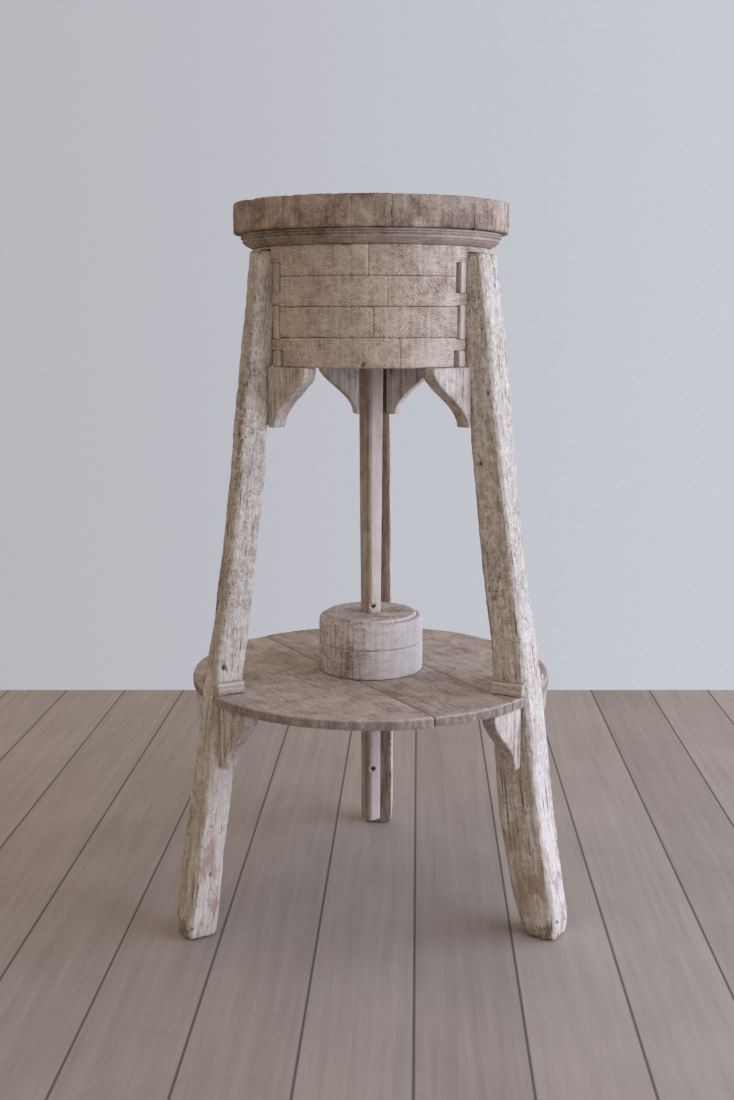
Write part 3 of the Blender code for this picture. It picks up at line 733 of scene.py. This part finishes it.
def build_top():
    """Thick boards with open grain on their ends, on battens, and the moulding below."""
    boards = Wear(MEDIUM, soften=0, chip=0.42, chip_size=0.015, hew=0.0008, groove=0.0005,
                  pit=0.0008, pit_share=0.3, swell=0.0005, tight=0.0006)
    for number, node in enumerate(TOP_BOARDS, 1):
        piece, _ = worn(node, boards, (0, 1, 0), (-0.16 + 0.06 * number, -0.02), 600 + number * 7,
                        joints=(1.0, 0.0, 0.0))
        finish_piece(piece, node, OAK_TOP)
    battens = Wear(MEDIUM, soften=2, chip=0.25)
    for side in ("front", "rear"):
        node = f"top_batten_{side}"
        piece, _ = worn(node, battens, (1, 0, 0), (0.05, 0.08), 640 + len(side))
        finish_piece(piece, node, PINE)
    moulding = Wear(FINEST, soften=0, chip=0.2, chip_size=0.02, groove=0.0003, swell=0.0003)
    low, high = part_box("moulding_1")
    reeds = [(low.z + share * (high.z - low.z), REED_HALF_WIDTH, REED_DEPTH) for share in REEDS]
    for number, azimuth in enumerate(MOULDING_AZIMUTHS, 1):
        node = f"moulding_{number}"
        piece, _ = worn(node, moulding, polar(azimuth + 90), (0.06, 0.03), 660 + number,
                        reeds=reeds, heights=(low.z, high.z))
        finish_piece(piece, node, OAK_MOULDING)


def build_inside():
    """The drum's hidden boards keep their CAD meshes."""
    for board in ("drum_top_board", "drum_bottom_board"):
        paint(board, PINE_INSIDE)


# ---------------------------------------------------------------- the studio

FLOOR_RADIUS = 4.3
FLOOR_BOARD = 0.148      # width of a floorboard
FLOOR_TURN = 2.25        # degrees, of the floorboards from the way the camera looks
# Corners of the room, in metres: its rear wall stands close behind the object
ROOM = ((-2.4, -3.4), (2.4, -3.4), (2.4, 1.15), (-2.4, 1.15))
ROOM_HEIGHT = 5.0

WINDOW_PLACE, WINDOW_TARGET = (2.75, -0.70, 0.95), (0, 0, 0.55)
WINDOW_SIZE, WINDOW_WATTS = (3.4, 2.4), 117.0
WINDOW_COLOUR = (0.70, 0.80, 1.0)
ROOM_LIGHT = (0.60, 0.505, 0.42)

CAMERA_X, CAMERA_HEIGHT = -0.0062, 0.93
CAMERA_DISTANCE = 2.021  # in front of the stand's axis
CAMERA_DIP = 10.08       # degrees below level
CAMERA_LENS, CAMERA_SENSOR = 42.545, 36.0   # millimetres


def add_light(name, location, target, size, energy, colour):
    data = bpy.data.lights.new(name, "AREA")
    data.shape, data.size, data.size_y = "RECTANGLE", *size
    data.energy, data.color = energy, colour
    light = bpy.data.objects.new(name, data)
    light.location = location
    light.rotation_euler = (Vector(target) - Vector(location)).to_track_quat("-Z", "Y").to_euler()
    light.visible_camera = False
    bpy.context.scene.collection.objects.link(light)


def stage_piece(name, corners, faces, material):
    """A part of the studio, which isn't part of the object."""
    mesh = bpy.data.meshes.new(name)
    mesh.from_pydata(corners, [], faces)
    mesh.materials.append(material)
    piece = bpy.data.objects.new(name, mesh)
    piece.location = (0, 0, cad_low.z)
    bpy.context.scene.collection.objects.link(piece)
    return piece


def floor_material():
    """Old grey floorboards that run away from the camera, with dark gaps between them."""
    s = Shader("studio_floor")
    place = s.place()
    turned = s.mapped(place, "Rotation", (0, 0, radians(FLOOR_TURN)))
    board = s.math("DIVIDE", s.along_x(turned), FLOOR_BOARD)
    tone = s.node("ShaderNodeTexWhiteNoise", {"W": s.math("ROUND", board)},
                  noise_dimensions="1D").outputs["Value"]
    from_middle = s.math("ABSOLUTE", s.math("SUBTRACT", s.math("FRACT", board), 0.5))
    gap = s.fit(from_middle, 0.006, 0.020, 0.8, 0.0)
    value = s.total((tone, 0.3), (s.noise(turned, (60, 2.2, 1), 5, 0.65), 0.9),
                    (s.noise(place, 5, 4), 0.5), (s.noise(place, 160, 3), 0.2))
    colour = s.ramp(value, (0.0, (0.26, 0.228, 0.215)), (1.0, (0.46, 0.42, 0.41)))
    s.colour(s.blend(gap, colour, (0.06, 0.048, 0.042)))
    s.roughness(s.fit(value, 0.2, 0.8, 0.8, 0.7))
    return s.material


def wall_material():
    """Plaster that glows by itself, a little brighter towards the window.

    It shows on the inner side only, so that a camera outside the room looks into it.
    """
    s = Shader("studio_wall")
    s.tree.nodes.remove(s.surface)
    place = s.place()
    light = s.blend(s.fit(s.along_x(place), -1.25, 1.25), (0.475, 0.472, 0.51), (0.59, 0.61, 0.664))
    plaster = s.fit(s.noise(place, 110, 4, 0.7), 0.35, 0.65, 0.0, 0.07)
    light = s.blend(plaster, light, (0.40, 0.405, 0.45))
    glow = s.node("ShaderNodeEmission", {"Color": light}).outputs[0]
    clear = s.node("ShaderNodeBsdfTransparent").outputs[0]
    outside = s.node("ShaderNodeNewGeometry").outputs["Backfacing"]
    sided = s.node("ShaderNodeMixShader", {0: outside, 1: glow, 2: clear}).outputs[0]
    s.tree.links.new(sided, s.tree.nodes["Material Output"].inputs["Surface"])
    return s.material


def build_studio():
    """Floorboards, four walls that light nothing, a wide window light and soft room light."""
    floor = [polar(azimuth, FLOOR_RADIUS) for azimuth in range(0, 360, 5)]
    stage_piece("studio_floor", floor, [range(len(floor))], floor_material())
    low = [Vector((x, y, 0)) for x, y in ROOM]
    high = [corner + Vector((0, 0, ROOM_HEIGHT)) for corner in low]
    sides = [(n, n + 4, (n + 1) % 4 + 4, (n + 1) % 4) for n in range(4)]
    wall = stage_piece("studio_wall", low + high, sides, wall_material())
    for rays in ("diffuse", "glossy", "transmission", "shadow", "volume_scatter"):
        setattr(wall, f"visible_{rays}", False)
    add_light("window", WINDOW_PLACE, WINDOW_TARGET, WINDOW_SIZE, WINDOW_WATTS, WINDOW_COLOUR)
    world = bpy.data.worlds.new("studio")
    world.use_nodes = True
    world.node_tree.nodes["Background"].inputs["Color"].default_value = (*ROOM_LIGHT, 1.0)
    bpy.context.scene.world = world
    bpy.context.scene.view_settings.view_transform = "Standard"


def build_camera():
    """A portrait view from the front, a little below the top, tilted down."""
    data = bpy.data.cameras.new("camera")
    data.sensor_width = CAMERA_SENSOR
    data.lens = CAMERA_LENS
    camera = bpy.data.objects.new("camera", data)
    camera.location = (CAMERA_X, AXIS.y - CAMERA_DISTANCE, CAMERA_HEIGHT)
    camera.rotation_euler = (radians(90 - CAMERA_DIP), 0, 0)
    bpy.context.scene.collection.objects.link(camera)
    bpy.context.scene.camera = camera


build_legs()
build_drum()
build_inside()
build_shims()
build_brackets()
build_shelf()
build_collar()
build_post()
build_top()
build_studio()
build_camera()
